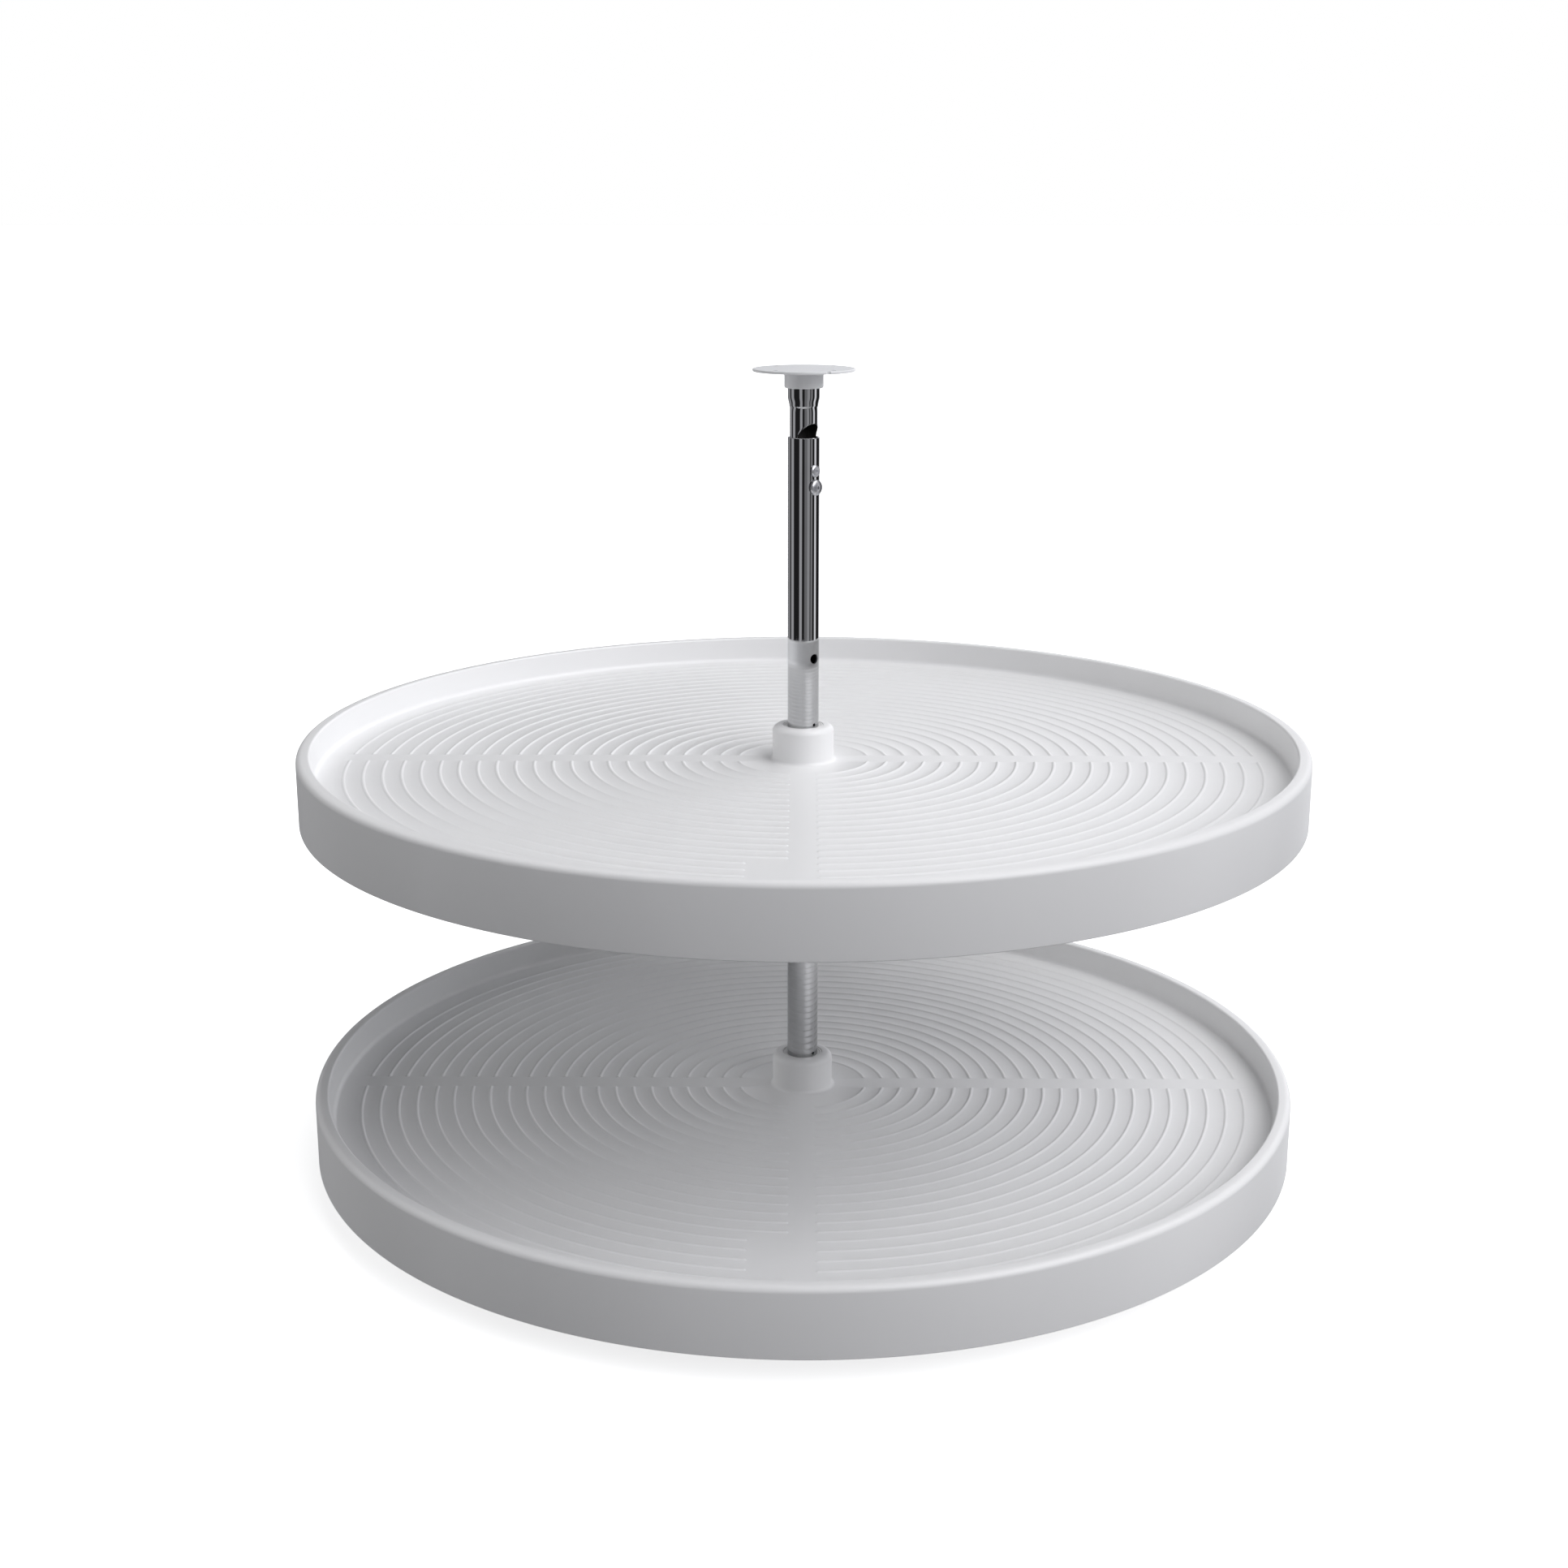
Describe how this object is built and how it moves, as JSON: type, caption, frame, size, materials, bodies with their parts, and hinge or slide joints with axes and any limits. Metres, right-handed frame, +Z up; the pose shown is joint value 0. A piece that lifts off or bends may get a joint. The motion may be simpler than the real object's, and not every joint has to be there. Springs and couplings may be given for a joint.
{
  "type": "lazy susan turntable",
  "caption": "Two full-circle moulded trays with ribbed floors turn freely on ball bearings round a telescoping steel post with screw-down flanges.",
  "frame": {"origin": "centre of the base flange's underside, on the post's axis", "axes": "+Z up along the post, -Y towards the front band of the trays, +X to the right; the drilled side of the post faces midway between +X and -Y"},
  "size_m": [0.8128, 0.8128, 0.66],
  "materials": {
    "tray_white": "satin",
    "flange_white": "satin",
    "bush_white": "smooth",
    "carrier_grey": "satin",
    "cage_plastic": "satin",
    "post_chrome": "polished",
    "zinc_steel": "zinc plated",
    "bearing_steel": "ground"
  },
  "bodies": {
    "post": {"base_flange": "flange_white", "lower_tube": "post_chrome", "nut_plate": "zinc_steel", "guide_rivet": "zinc_steel", "lower_carrier": "carrier_grey", "upper_carrier": "carrier_grey", "lower_carrier_pin": "zinc_steel", "upper_carrier_pin": "zinc_steel", "lower_bottom_race": "bearing_steel", "upper_bottom_race": "bearing_steel"},
    "extension": {"upper_tube": "post_chrome", "top_flange": "flange_white"},
    "lock_washer": {"lock_washer": "zinc_steel"},
    "lock_screw": {"lock_screw": "zinc_steel"},
    "lower_bearing": {"lower_ball_cage": "cage_plastic", "lower_balls": "bearing_steel"},
    "upper_bearing": {"upper_ball_cage": "cage_plastic", "upper_balls": "bearing_steel"},
    "lower_tray": {"lower_tray": "tray_white", "lower_bush": "bush_white", "lower_top_race": "bearing_steel"},
    "upper_tray": {"upper_tray": "tray_white", "upper_bush": "bush_white", "upper_top_race": "bearing_steel"}
  },
  "joints": [
    {"name": "lower_tray_spin", "type": "hinge", "parent": "post", "child": "lower_tray", "pos_m": [0, 0, 0.0584], "axis": [0, 0, 1], "continuous": true},
    {"name": "upper_tray_spin", "type": "hinge", "parent": "post", "child": "upper_tray", "pos_m": [0, 0, 0.3444], "axis": [0, 0, 1], "continuous": true},
    {"name": "lower_cage_spin", "type": "hinge", "parent": "post", "child": "lower_bearing", "pos_m": [0, 0, 0.034], "axis": [0, 0, 1], "continuous": true},
    {"name": "upper_cage_spin", "type": "hinge", "parent": "post", "child": "upper_bearing", "pos_m": [0, 0, 0.32], "axis": [0, 0, 1], "continuous": true},
    {"name": "post_extend", "type": "slide", "parent": "post", "child": "extension", "axis": [0, 0, 1], "range_m": [0, 0.127]},
    {"name": "lock_washer_travel", "type": "slide", "parent": "post", "child": "lock_washer", "axis": [0.7071, -0.7071, 0], "range_m": [0, 0.002]},
    {"name": "lock_screw_turn", "type": "hinge", "parent": "lock_washer", "child": "lock_screw", "pos_m": [0.0098, -0.0098, 0.5677], "axis": [0.7071, -0.7071, 0], "range_deg": [0, 720]}
  ],
  "couplings": [
    {"joint": "lower_cage_spin", "follows": "lower_tray_spin", "ratio": 0.5},
    {"joint": "upper_cage_spin", "follows": "upper_tray_spin", "ratio": 0.5},
    {"joint": "lock_screw_turn", "follows": "lock_washer_travel", "rad_per_m": 6283.2}
  ]
}
